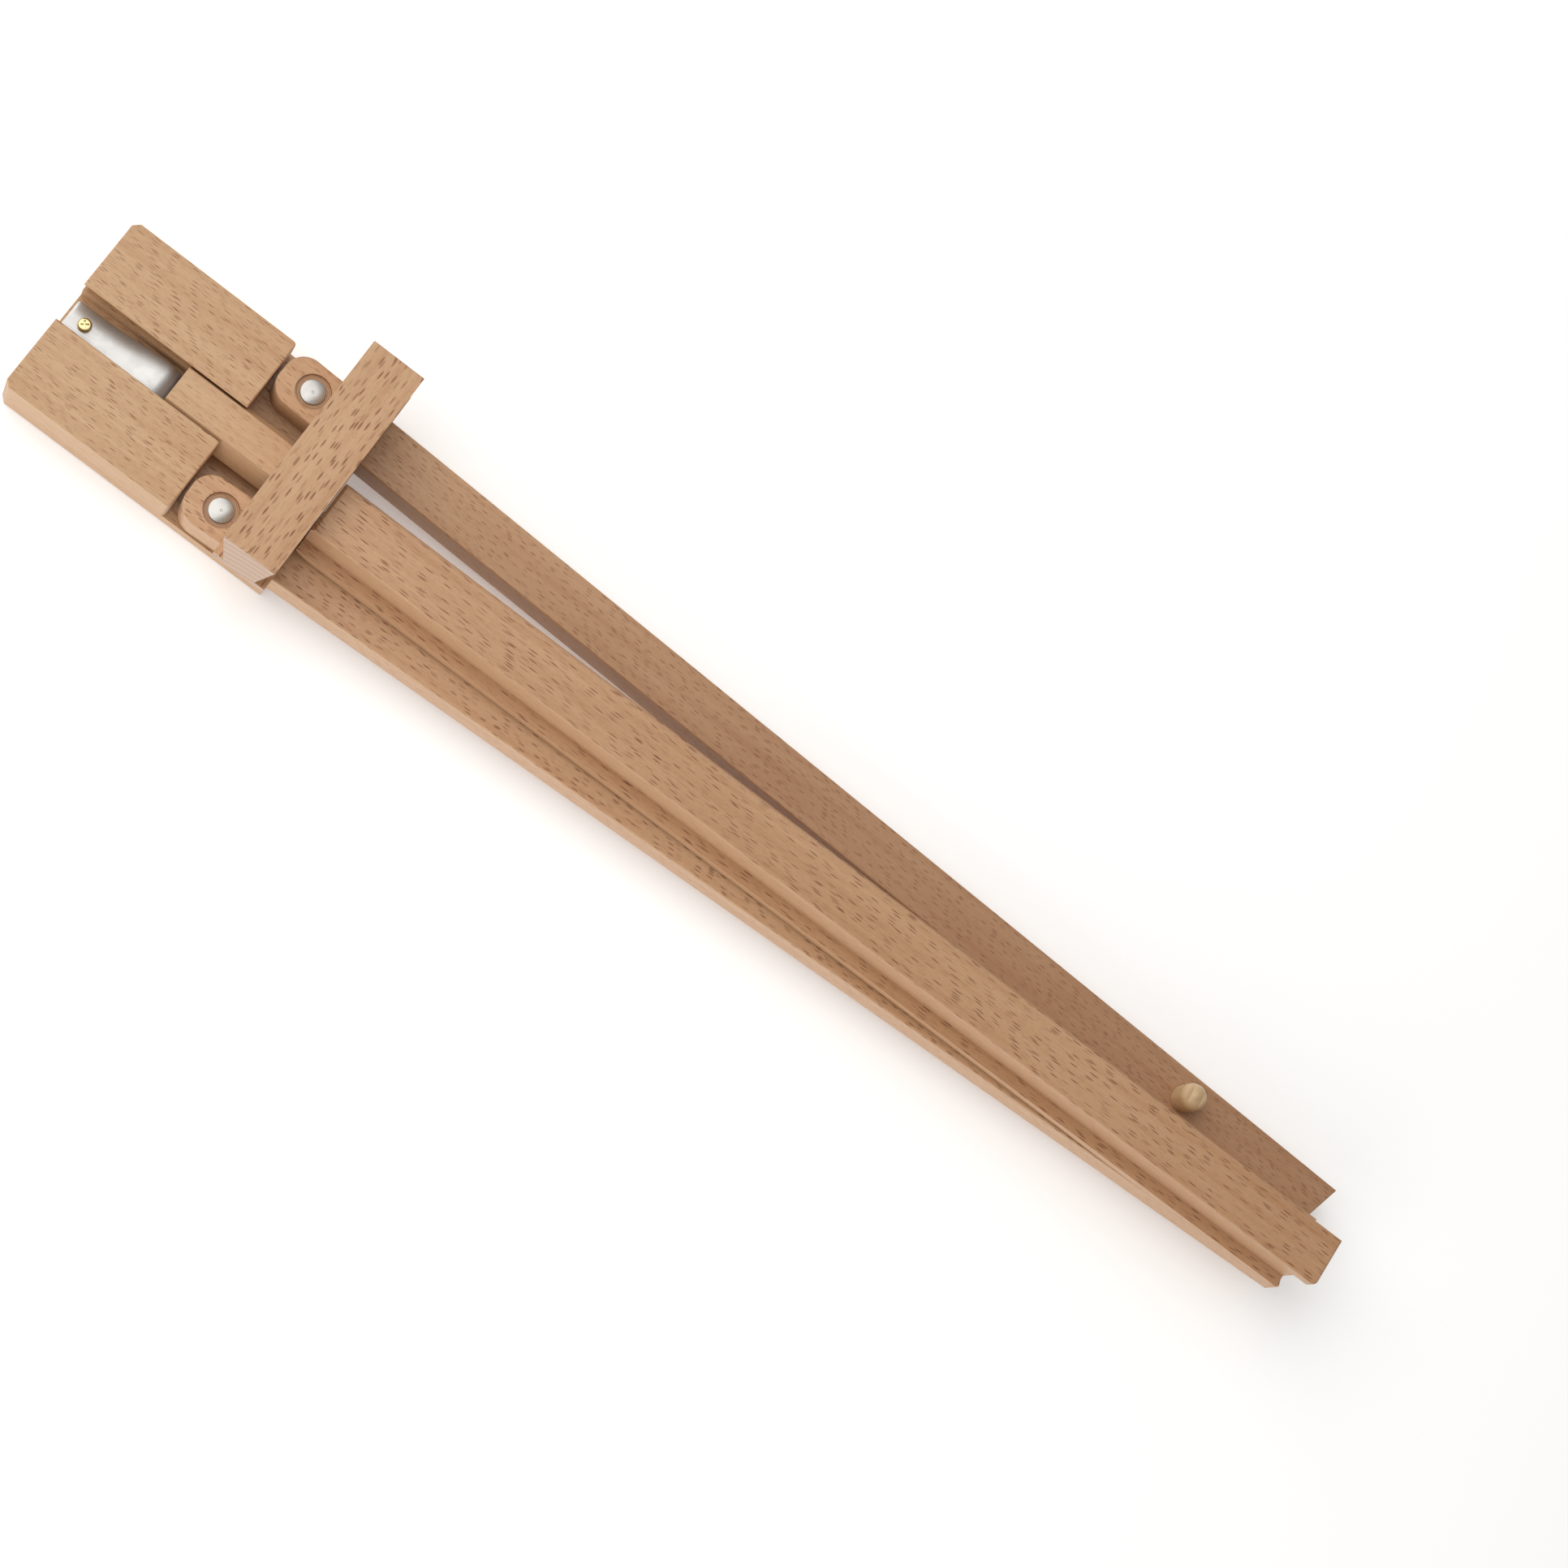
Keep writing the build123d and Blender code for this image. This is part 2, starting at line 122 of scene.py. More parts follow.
def beechMaterial(name, look):
    material, tree, shader = newMaterial(name)
    grain = look["grain"]
    hues = look["hues"]
    place = addNode(tree, "ShaderNodeTexCoord", {})
    turn = {"X": (0, 0, look["turn"]), "Y": (0, 0, -math.pi / 2), "Z": (0, math.pi / 2, 0)}[grain]
    wood = addNode(tree, "ShaderNodeMapping", {
        "Vector": place.outputs["Object"], "Rotation": turn,
        "Location": tuple(c * mm for c in look["cut"])}).outputs["Vector"]

    # the grain wanders a little, so nothing runs dead straight
    longWave = addNode(tree, "ShaderNodeVectorMath", {0: wood, 1: perCell(beech["wanderCell"])},
                       operation="MULTIPLY").outputs["Vector"]
    wanderNoise = addNode(tree, "ShaderNodeTexNoise", {"Vector": longWave, "Scale": 1.0, "Detail": 2.0})
    wavy = addNode(tree, "ShaderNodeVectorMath", {
        0: wanderNoise.outputs["Color"], 1: tuple(w * mm for w in beech["wander"]), 2: wood},
        operation="MULTIPLY_ADD").outputs["Vector"]

    # on every long face the grain runs along x and the face's width is y plus z
    along = addNode(tree, "ShaderNodeSeparateXYZ", {"Vector": wavy})
    across = addNode(tree, "ShaderNodeMath", {0: along.outputs["Y"], 1: along.outputs["Z"]},
                     operation="ADD").outputs[0]
    staggered = addNode(tree, "ShaderNodeMath", {0: across, 1: beech["stagger"], 2: along.outputs["X"]},
                        operation="MULTIPLY_ADD").outputs[0]
    unrolled = addNode(tree, "ShaderNodeCombineXYZ", {"X": staggered, "Y": across}).outputs[0]

    # large ray flecks: dark dashes, one in each long cell of the unrolled face
    dashCells = addNode(tree, "ShaderNodeVectorMath", {0: unrolled, 1: perCell(look["fleckCell"])},
                        operation="MULTIPLY").outputs["Vector"]
    dashes = addNode(tree, "ShaderNodeTexVoronoi", {"Vector": dashCells, "Scale": 1.0, "Randomness": 1.0},
                     voronoi_dimensions="2D")
    dashShape = addNode(tree, "ShaderNodeMapRange", {
        "Value": dashes.outputs["Distance"], "From Min": look["fleckCore"], "From Max": look["fleckRim"],
        "To Min": 1.0, "To Max": 0.0}, interpolation_type="SMOOTHSTEP").outputs[0]
    dashDraw = addNode(tree, "ShaderNodeSeparateColor", {"Color": dashes.outputs["Color"]})
    dashForce = addNode(tree, "ShaderNodeMapRange", {
        "Value": dashDraw.outputs["Red"], "From Min": 0.1, "From Max": 0.9, "To Min": 0.1, "To Max": 1.0})
    dash = addNode(tree, "ShaderNodeMath", {0: dashShape, 1: dashForce.outputs[0]}, operation="MULTIPLY")

    # small flecks between them
    fineCells = addNode(tree, "ShaderNodeVectorMath", {0: unrolled, 1: perCell(look["fineCell"])},
                        operation="MULTIPLY").outputs["Vector"]
    fine = addNode(tree, "ShaderNodeTexVoronoi", {"Vector": fineCells, "Scale": 1.0, "Randomness": 1.0},
                   voronoi_dimensions="2D")
    fineShape = addNode(tree, "ShaderNodeMapRange", {
        "Value": fine.outputs["Distance"], "From Min": 0.12, "From Max": 0.34,
        "To Min": look["fineForce"], "To Max": 0.0}, interpolation_type="SMOOTHSTEP").outputs[0]
    fineDraw = addNode(tree, "ShaderNodeSeparateColor", {"Color": fine.outputs["Color"]})
    fineDash = addNode(tree, "ShaderNodeMath", {0: fineShape, 1: fineDraw.outputs["Green"]},
                       operation="MULTIPLY")

    # fibres, broader streaks, clouds of tone and flat-sawn rings
    fibreCells = addNode(tree, "ShaderNodeVectorMath", {0: wood, 1: perCell(beech["fibreCell"])},
                         operation="MULTIPLY").outputs["Vector"]
    fibre = addNode(tree, "ShaderNodeTexNoise", {
        "Vector": fibreCells, "Scale": 1.0, "Detail": 4.0, "Roughness": 0.62}).outputs["Fac"]
    streakCells = addNode(tree, "ShaderNodeVectorMath", {0: wavy, 1: perCell(beech["streakCell"])},
                          operation="MULTIPLY").outputs["Vector"]
    streak = addNode(tree, "ShaderNodeTexNoise", {
        "Vector": streakCells, "Scale": 1.0, "Detail": 2.0}).outputs["Fac"]
    cloudCells = addNode(tree, "ShaderNodeVectorMath", {0: wood, 1: perCell(beech["cloudCell"])},
                         operation="MULTIPLY").outputs["Vector"]
    cloud = addNode(tree, "ShaderNodeTexNoise", {
        "Vector": cloudCells, "Scale": 1.0, "Detail": 3.0}).outputs["Fac"]
    rings = addNode(tree, "ShaderNodeTexWave", {
        "Vector": wavy, "Scale": waveRepeat / (beech["ringSpacing"] * mm), "Distortion": 4.0,
        "Detail": 2.0, "Detail Scale": 0.3}, wave_type="BANDS", bands_direction="Y").outputs["Fac"]
    fibreWarm = addNode(tree, "ShaderNodeMapRange", {
        "Value": fibre, "From Min": 0.3, "From Max": 0.72, "To Min": 0.0,
        "To Max": beech["fibreWarmth"]}).outputs[0]
    streakWarm = addNode(tree, "ShaderNodeMapRange", {
        "Value": streak, "From Min": 0.4, "From Max": 0.7, "To Min": 0.0,
        "To Max": beech["streakWarmth"]}).outputs[0]
    cloudWarm = addNode(tree, "ShaderNodeMapRange", {
        "Value": cloud, "From Min": 0.35, "From Max": 0.68, "To Min": -0.15,
        "To Max": beech["cloudWarmth"]}).outputs[0]
    ringWarm = addNode(tree, "ShaderNodeMapRange", {
        "Value": rings, "From Min": 0.6, "From Max": 1.0, "To Min": 0.0,
        "To Max": beech["ringWarmth"]}).outputs[0]
    grainWarm = addNode(tree, "ShaderNodeMath", {0: fibreWarm, 1: streakWarm}, operation="ADD").outputs[0]
    boardWarm = addNode(tree, "ShaderNodeMath", {0: cloudWarm, 1: ringWarm}, operation="ADD").outputs[0]
    warmth = addNode(tree, "ShaderNodeMath", {0: grainWarm, 1: boardWarm}, operation="ADD",
                     use_clamp=True).outputs[0]

    tan, warm, quarter = ([c * t for c, t in zip(srgb(hues[key]), look["tone"])] + [1.0]
                          for key in ("tan", "tanWarm", "quarter"))
    face = addNode(tree, "ShaderNodeMix", {0: warmth, 6: tan, 7: warm}, data_type="RGBA").outputs[2]
    # painted shade: a stick may darken toward its foot, where less light falls
    footShadeMask = addNode(tree, "ShaderNodeMapRange", {
        "Value": along.outputs["X"], "From Min": (look["cut"][0] + beech["footShadeSpan"][0]) * mm,
        "From Max": (look["cut"][0] + beech["footShadeSpan"][1]) * mm}).outputs[0]
    footShadeTint = addNode(tree, "ShaderNodeMix", {
        0: footShadeMask, 6: (1.0, 1.0, 1.0, 1.0), 7: look["footShadeTone"] + (1.0,)},
        data_type="RGBA").outputs[2]

    # which way the surface looks, on the piece's own axes
    facing = addNode(tree, "ShaderNodeSeparateXYZ", {"Vector": place.outputs["Normal"]})
    sideAxis = {"X": "Y", "Y": "X", "Z": "Y"}[grain]
    sideLook = addNode(tree, "ShaderNodeMath", {0: facing.outputs[sideAxis]}, operation="ABSOLUTE")
    sideOn = addNode(tree, "ShaderNodeMapRange", {
        "Value": sideLook.outputs[0], "From Min": 0.6, "From Max": 0.95}).outputs[0]
    endLook = addNode(tree, "ShaderNodeMath", {0: facing.outputs[grain]}, operation="ABSOLUTE")
    endOn = addNode(tree, "ShaderNodeMapRange", {
        "Value": endLook.outputs[0], "From Min": 0.7, "From Max": 0.92}).outputs[0]
    sideFibre = addNode(tree, "ShaderNodeMapRange", {
        "Value": fibre, "From Min": 0.4, "From Max": 0.75, "To Min": 0.0, "To Max": 0.5}).outputs[0]
    side = addNode(tree, "ShaderNodeMix", {0: sideFibre, 6: quarter, 7: warm}, data_type="RGBA").outputs[2]
    faceOrSide = addNode(tree, "ShaderNodeMix", {0: sideOn, 6: face, 7: side}, data_type="RGBA").outputs[2]
    plain = addNode(tree, "ShaderNodeMix", {0: 1.0, 6: faceOrSide, 7: footShadeTint}, data_type="RGBA",
                    blend_type="MULTIPLY").outputs[2]

    anyDash = addNode(tree, "ShaderNodeMath", {0: dash.outputs[0], 1: fineDash.outputs[0]},
                      operation="MAXIMUM").outputs[0]
    dashFade = addNode(tree, "ShaderNodeMapRange", {
        "Value": sideOn, "From Min": 0.0, "From Max": 1.0,
        "To Min": look["flecks"], "To Max": 0.3 * look["flecks"]}).outputs[0]
    darkness = addNode(tree, "ShaderNodeMath", {0: anyDash, 1: dashFade}, operation="MULTIPLY").outputs[0]
    flecked = addNode(tree, "ShaderNodeMix", {0: darkness, 6: plain, 7: srgb(hues["fleck"])},
                      data_type="RGBA").outputs[2]

    # end grain: arcs about a heart that lay outside the board, and fine pores
    heart = addNode(tree, "ShaderNodeMapping", {
        "Vector": wood, "Location": tuple(c * mm for c in look["heart"])}).outputs["Vector"]
    endRings = addNode(tree, "ShaderNodeTexWave", {
        "Vector": heart, "Scale": waveRepeat / (beech["endRingSpacing"] * mm), "Distortion": 0.8,
        "Detail": 2.0, "Detail Scale": 0.6}, wave_type="RINGS", rings_direction="X",
        wave_profile="SAW").outputs["Fac"]
    poreCells = addNode(tree, "ShaderNodeVectorMath", {0: wood, 1: perCell(beech["poreCell"])},
                        operation="MULTIPLY").outputs["Vector"]
    pores = addNode(tree, "ShaderNodeTexNoise", {"Vector": poreCells, "Scale": 1.0, "Detail": 3.0})
    ringShade = addNode(tree, "ShaderNodeMapRange", {
        "Value": endRings, "From Min": 0.1, "From Max": 1.0, "To Min": 0.0, "To Max": 0.7}).outputs[0]
    poreShade = addNode(tree, "ShaderNodeMapRange", {
        "Value": pores.outputs["Fac"], "From Min": 0.5, "From Max": 0.75, "To Min": 0.0,
        "To Max": 0.3}).outputs[0]
    endShade = addNode(tree, "ShaderNodeMath", {0: ringShade, 1: poreShade}, operation="MAXIMUM").outputs[0]
    endFace = addNode(tree, "ShaderNodeMix", {
        0: endShade, 6: srgb(hues["endGrain"]), 7: srgb(hues["endRing"])}, data_type="RGBA").outputs[2]
    colour = addNode(tree, "ShaderNodeMix", {0: endOn, 6: flecked, 7: endFace}, data_type="RGBA").outputs[2]

    for middle, radius in look["bores"]:
        # a cutter left dark rings on the ledge round a pin and at the lip of a hole
        boreAxis = addNode(tree, "ShaderNodeMapping", {
            "Vector": place.outputs["Object"], "Location": tuple(-c for c in middle)}).outputs["Vector"]
        flat = addNode(tree, "ShaderNodeVectorMath", {0: boreAxis, 1: (1.0, 1.0, 0.0)},
                       operation="MULTIPLY").outputs["Vector"]
        reach = addNode(tree, "ShaderNodeVectorMath", {0: flat}, operation="LENGTH").outputs["Value"]
        inside = addNode(tree, "ShaderNodeMapRange", {
            "Value": reach, "From Min": radius - 0.1 * mm, "From Max": radius + 0.35 * mm,
            "To Min": 0.85, "To Max": 0.0}).outputs[0]
        turning = addNode(tree, "ShaderNodeTexWave", {
            "Vector": boreAxis, "Scale": waveRepeat / (beech["cutterRingSpacing"] * mm)}, wave_type="RINGS",
            rings_direction="Z").outputs["Fac"]
        ledge = addNode(tree, "ShaderNodeMix", {
            0: turning, 6: srgb(hues["burnt"]), 7: srgb(hues["burntRing"])}, data_type="RGBA").outputs[2]
        colour = addNode(tree, "ShaderNodeMix", {0: inside, 6: colour, 7: ledge},
                         data_type="RGBA").outputs[2]

    # flecks are slightly sunk and duller than the lacquer round them
    relief = addNode(tree, "ShaderNodeMath", {0: fibre, 1: 0.4}, operation="MULTIPLY").outputs[0]
    height = addNode(tree, "ShaderNodeMath", {0: relief, 1: darkness}, operation="SUBTRACT").outputs[0]
    bump = addNode(tree, "ShaderNodeBump", {
        "Height": height, "Strength": 0.3, "Distance": beech["fleckRelief"] * mm})
    dull = addNode(tree, "ShaderNodeMapRange", {
        "Value": anyDash, "From Min": 0.0, "From Max": 1.0, "To Min": beech["roughness"],
        "To Max": beech["fleckRoughness"]}).outputs[0]
    fibreDull = addNode(tree, "ShaderNodeMapRange", {
        "Value": fibre, "From Min": 0.3, "From Max": 0.7, "To Min": -0.05, "To Max": 0.05}).outputs[0]
    longDull = addNode(tree, "ShaderNodeMath", {0: dull, 1: fibreDull}, operation="ADD").outputs[0]
    roughness = addNode(tree, "ShaderNodeMath", {0: endOn, 1: 0.2, 2: longDull},
                        operation="MULTIPLY_ADD").outputs[0]
    tree.links.new(colour, shader.inputs["Base Color"])
    tree.links.new(roughness, shader.inputs["Roughness"])
    tree.links.new(bump.outputs["Normal"], shader.inputs["Normal"])
    shader.inputs["IOR"].default_value = 1.5
    shader.inputs["Coat Weight"].default_value = 0.1
    shader.inputs["Coat Roughness"].default_value = 0.4
    return material


# how each stick was cut from the plank, with sizes in mm: cut is its place in the tree, heart is
# how far off the rings' centre lay, tone multiplies the common tan, the foot's tone is painted shade
# toward the foot, and flecks is their strength
stick = {"grain": "X", "turn": 0.0, "cut": (0, 0, 0), "heart": (0, 12, 30), "tone": (1.0, 1.0, 1.0),
         "footShadeTone": (1.0, 1.0, 1.0), "hues": beech, "bores": (), "flecks": 0.8,
         "fleckCell": (6.0, 0.62, 1), "fleckCore": 0.1, "fleckRim": 0.28,
         "fineCell": (2.6, 0.45, 1), "fineForce": 0.28}
lean = math.radians(1.92)          # the folded front legs close up toward the feet
sticks = {
    "base_board": {"cut": (31, 7, 3), "tone": (1.0, 0.98, 0.97)},
    "jaw_left": {"cut": (140, 22, 9)},
    "jaw_right": {"cut": (60, 51, 14)},
    "slider_tongue": {"cut": (210, 33, 5), "flecks": 0.4, "fleckCell": (5.0, 0.75, 1)},
    "crossbar": {"grain": "Y", "cut": (15, 11, 40), "heart": (0, 24, -8), "tone": (0.99, 0.95, 0.94),
                 "flecks": 0.78, "fleckCell": (6.0, 1.05, 1), "fleckCore": 0.15, "fleckRim": 0.33},
    "prop_leg": {"cut": (95, 64, 21), "tone": (0.97, 0.91, 0.9), "flecks": 0.82,
                 "fleckCell": (7.0, 0.78, 1), "fleckCore": 0.12, "fleckRim": 0.3},
    "leg_left": {"cut": (20, 90, 30), "turn": -lean, "tone": (1.0, 0.96, 0.97), "flecks": 0.7,
                 "fleckCell": (4.6, 0.95, 1), "fleckCore": 0.14, "fleckRim": 0.33},
    # painted shade: the right leg's foot tone darkens it toward its foot, where less light falls
    "leg_right": {"cut": (170, 40, 70), "turn": lean, "tone": (0.97, 0.93, 0.92),
                  "footShadeTone": (0.87, 0.81, 0.81), "flecks": 0.55,
                  "fleckCell": (4.2, 0.85, 1), "fleckCore": 0.12, "fleckRim": 0.33},
}
pegRadius = 4.0
# the ledges round the pins and the lip of the peg's hole, by their radii
boreRadii = (("leg_left", "hinge_pin_left", 5.1), ("leg_right", "hinge_pin_right", 5.1),
             ("leg_right", "stop_peg", pegRadius + 0.2))
for node, filling, radius in boreRadii:
    low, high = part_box(filling)
    sticks[node]["bores"] = sticks[node].get("bores", ()) + (((low + high) / 2, radius * mm),)
for node, look in sticks.items():
    name = "beech" + node.title().replace("_", "")
    dress(node, beechMaterial(name, {**stick, **look}))
print("beech on", len(sticks), "pieces")

# birch dowel, turned: creamier and more even than beech, with faint long grain
birch = {**beech, "tan": "#D3B68E", "tanWarm": "#BC986C", "quarter": "#CFB189", "fleck": "#A37B50",
         "endGrain": "#D3B48B", "endRing": "#AE8A60"}
birchDowel = beechMaterial("birchDowel", {
    **stick, "grain": "Z", "cut": (3, 3, 3), "hues": birch, "flecks": 0.3, "heart": (0, 2, 1)})


# sizes in mm shared by the metals: finger marks, and how deep the finish's lines are
smudgeCell = (5, 5, 5)
lineDepth = 0.02


def metalMaterial(name, look):
    material, tree, shader = newMaterial(name)
    place = addNode(tree, "ShaderNodeTexCoord", {})
    lineCells = addNode(tree, "ShaderNodeVectorMath", {
        0: place.outputs["Object"], 1: perCell(look["cell"])}, operation="MULTIPLY").outputs["Vector"]
    lines = addNode(tree, "ShaderNodeTexNoise", {
        "Vector": lineCells, "Scale": 1.0, "Detail": 4.0}).outputs["Fac"]
    smudgeCells = addNode(tree, "ShaderNodeVectorMath", {
        0: place.outputs["Object"], 1: perCell(smudgeCell)}, operation="MULTIPLY").outputs["Vector"]
    smudge = addNode(tree, "ShaderNodeTexNoise", {
        "Vector": smudgeCells, "Scale": 1.0, "Detail": 3.0}).outputs["Fac"]
    dirt = addNode(tree, "ShaderNodeMapRange", {
        "Value": smudge, "From Min": 0.4, "From Max": 0.75, "To Min": 0.0, "To Max": 0.5}).outputs[0]
    tint = addNode(tree, "ShaderNodeMix", {0: dirt, 6: srgb(look["bright"]), 7: srgb(look["dull"])},
                   data_type="RGBA").outputs[2]
    lineRough = addNode(tree, "ShaderNodeMapRange", {
        "Value": lines, "From Min": 0.3, "From Max": 0.7, "To Min": look["roughness"] - look["spread"],
        "To Max": look["roughness"] + look["spread"]}).outputs[0]
    rough = addNode(tree, "ShaderNodeMath", {0: dirt, 1: 0.12, 2: lineRough},
                    operation="MULTIPLY_ADD").outputs[0]
    bump = addNode(tree, "ShaderNodeBump", {
        "Height": lines, "Strength": look["relief"], "Distance": lineDepth * mm})
    tree.links.new(tint, shader.inputs["Base Color"])
    tree.links.new(rough, shader.inputs["Roughness"])
    tree.links.new(bump.outputs["Normal"], shader.inputs["Normal"])
    shader.inputs["Metallic"].default_value = 1.0
    return material


metalLooks = {
    # cold-rolled spring steel: satin, with the roll's lines along the strip, drawn coarser
    # than they are so that they show
    "rolledSpringSteel": {"bright": "#B9B7B4", "dull": "#A5A29F", "roughness": 0.38, "spread": 0.08,
                          "cell": (16.0, 0.14, 0.14), "relief": 0.2},
    # silver steel rod, faced off on a lathe: bright and nearly smooth
    "turnedSteel": {"bright": "#ADAAA5", "dull": "#A09D98", "roughness": 0.25, "spread": 0.015,
                    "cell": (3.0, 3.0, 3.0), "relief": 0.01},
    # yellow brass, tumbled: soft shine with small dull spots
    "tumbledBrass": {"bright": "#DCC893", "dull": "#B59A62", "roughness": 0.26, "spread": 0.06,
                     "cell": (0.5, 0.5, 0.5), "relief": 0.15},
    # zinc-plated mild steel: light grey, slightly mottled
    "zincPlatedSteel": {"bright": "#BFC3C6", "dull": "#9A9FA3", "roughness": 0.38, "spread": 0.08,
                        "cell": (1.2, 1.2, 1.2), "relief": 0.15},
}
metals = {name: metalMaterial(name, look) for name, look in metalLooks.items()}
for node in ("jaw_screws", "crossbar_screws", "thrust_washer_left", "thrust_washer_right",
             "pivot_pin", "prop_bracket", "bracket_screws"):
    dress(node, metals["zincPlatedSteel"])
print("metals made")


near = 1e-6                            # metres; two places closer than this are the same


def selectFaces(piece, wanted):
    # in edit mode, selects only the faces that the test accepts
    mesh = bmesh.from_edit_mesh(piece.data)
    bpy.ops.mesh.select_mode(type="FACE")
    bpy.ops.mesh.select_all(action="DESELECT")
    for face in mesh.faces:
        face.select_set(wanted(face))
    bmesh.update_edit_mesh(piece.data)


def selectEdges(piece, wanted):
    mesh = bmesh.from_edit_mesh(piece.data)
    bpy.ops.mesh.select_all(action="DESELECT")
    bpy.ops.mesh.select_mode(type="EDGE")
    for edge in mesh.edges:
        edge.select_set(wanted(edge))
    bmesh.update_edit_mesh(piece.data)


def finishPiece(piece, material, body, node):
    # places a piece's shape in its mesh, dresses it and ties it to the CAD
    bpy.ops.object.mode_set(mode="OBJECT")
    bpy.ops.object.transform_apply(location=True, rotation=True, scale=True)
    bpy.ops.object.shade_smooth_by_angle(angle=math.radians(32))
    piece.data.materials.append(material)
    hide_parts(node)
    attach(piece, body)
    bpy.ops.object.select_all(action="DESELECT")
    print("made", piece.name)


# leaf spring: a strip that lies flat under its screw, climbs to a crown and dips to its tip
springLook = {
    "thickness": 0.5,
    "seatEnd": -56.6,                  # points in mm, as x, or x and z
    "riseEnd": (-47.6, 6.15),
    "crown": (-34.8, 8.6),
    "bend": (-32.6, 8.15),
    "tipClearance": 0.15,
    "steps": {"seat": 4, "climb": 9, "crown": 14, "dip": 6, "tip": 4},
    "cornerRadius": 0.8,
    "edgeRound": 0.12,
}
springLow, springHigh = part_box("leaf_spring")
springWidth = springHigh.y - springLow.y
headX = springLow.x / mm
seatZ = springLow.z / mm + springLook["thickness"] / 2
seatX = springLook["seatEnd"]
(riseX, riseZ), (crownX, crownZ), (bendX, bendZ) = (springLook[k] for k in ("riseEnd", "crown", "bend"))
steps = {part: [(k + 1) / count for k in range(count)] for part, count in springLook["steps"].items()}
climbSlope = 2 * (riseZ - seatZ) / (riseX - seatX)
dipSlope = 2 * (bendZ - crownZ) / (bendX - crownX)
tipX = springHigh.x / mm - springLook["tipClearance"]
path = [(headX, seatZ)]
path += [(headX + (seatX - headX) * t, seatZ) for t in steps["seat"]]
path += [(seatX + (riseX - seatX) * t, seatZ + (riseZ - seatZ) * t * t) for t in steps["climb"]]
for t in steps["crown"]:               # leaves at the climb's slope and is level at the crown
    eased = (t ** 3 - 2 * t * t + t) * (crownX - riseX) * climbSlope + (3 * t * t - 2 * t ** 3) * (
        crownZ - riseZ)
    path.append((riseX + (crownX - riseX) * t, riseZ + eased))
path += [(crownX + (bendX - crownX) * t, crownZ + (bendZ - crownZ) * t * t) for t in steps["dip"]]
path += [(bendX + (tipX - bendX) * t, bendZ + (tipX - bendX) * t * dipSlope) for t in steps["tip"]]

bpy.ops.object.select_all(action="DESELECT")
firstRun = path[1][0] - path[0][0]
bpy.ops.mesh.primitive_plane_add(size=1.0, location=((headX + firstRun / 2) * mm, 0.0, seatZ * mm))
spring = bpy.context.object
spring.name = "springStrip"
spring.scale = (firstRun * mm, springWidth, 1.0)
bpy.ops.object.transform_apply(location=True, rotation=True, scale=True)
bpy.ops.object.mode_set(mode="EDIT")
for here, there in zip(path[1:], path[2:]):
    selectEdges(spring, lambda edge, x=here[0]: all(abs(v.co.x - x * mm) < near for v in edge.verts))
    bpy.ops.mesh.extrude_region_move(TRANSFORM_OT_translate={
        "value": ((there[0] - here[0]) * mm, 0.0, (there[1] - here[1]) * mm)})
bpy.ops.mesh.select_all(action="SELECT")
bpy.ops.mesh.normals_make_consistent(inside=False)
# rounded corners at both ends
mesh = bmesh.from_edit_mesh(spring.data)
bpy.ops.mesh.select_all(action="DESELECT")
bpy.ops.mesh.select_mode(type="VERT")
for vertex in mesh.verts:
    vertex.select_set(len(vertex.link_edges) == 2)
bmesh.update_edit_mesh(spring.data)
bpy.ops.mesh.bevel(offset=springLook["cornerRadius"] * mm, affect="VERTICES", segments=4)
bpy.ops.object.mode_set(mode="OBJECT")
wall = spring.modifiers.new("wall", "SOLIDIFY")
wall.thickness = springLook["thickness"] * mm
wall.offset = 0.0
bpy.ops.object.modifier_apply(modifier=wall.name)
soft = spring.modifiers.new("soft", "BEVEL")
soft.width = springLook["edgeRound"] * mm
soft.segments = 2
soft.limit_method = "ANGLE"
soft.angle_limit = math.radians(40)
bpy.ops.object.modifier_apply(modifier=soft.name)
finishPiece(spring, metals["rolledSpringSteel"], "head", "leaf_spring")

# brass screw: low pan head with a cross recess, and its plain shank in the board
screwLook = {"headRadius": 2.0, "headHeight": 1.4, "headRound": 0.65, "shankRadius": 1.0, "point": 0.2,
             "pointInset": 0.6, "recessReach": 1.2, "recessWidth": 0.5, "recessDepth": 0.8,
             "recessTurn": 38}
screwLow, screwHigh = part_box("spring_screw")
screwMiddle = (screwLow + screwHigh) / 2
headHeight = screwLook["headHeight"] * mm
headBase = screwHigh.z - headHeight
bpy.ops.mesh.primitive_cylinder_add(
    vertices=48, radius=screwLook["headRadius"] * mm, depth=headHeight,
    location=(screwMiddle.x, screwMiddle.y, headBase + headHeight / 2))
screw = bpy.context.object
screw.name = "brassPanScrew"
bpy.ops.object.transform_apply(location=True, rotation=True, scale=True)
bpy.ops.object.mode_set(mode="EDIT")
selectFaces(screw, lambda face: face.normal.z < -0.9)
bpy.ops.mesh.inset(thickness=(screwLook["headRadius"] - screwLook["shankRadius"]) * mm)
bpy.ops.mesh.extrude_region_move(TRANSFORM_OT_translate={
    "value": (0.0, 0.0, screwLow.z + screwLook["point"] * mm - headBase)})
bpy.ops.mesh.inset(thickness=screwLook["pointInset"] * mm)
bpy.ops.transform.translate(value=(0.0, 0.0, -screwLook["point"] * mm))
selectEdges(screw, lambda edge: all(v.co.z > screwHigh.z - near for v in edge.verts))
bpy.ops.mesh.bevel(offset=screwLook["headRound"] * mm, segments=6)
bpy.ops.object.mode_set(mode="OBJECT")
bpy.ops.object.select_all(action="DESELECT")
bpy.ops.mesh.primitive_cube_add(size=1.0, location=(screwMiddle.x, screwMiddle.y, screwHigh.z))
cutter = bpy.context.object
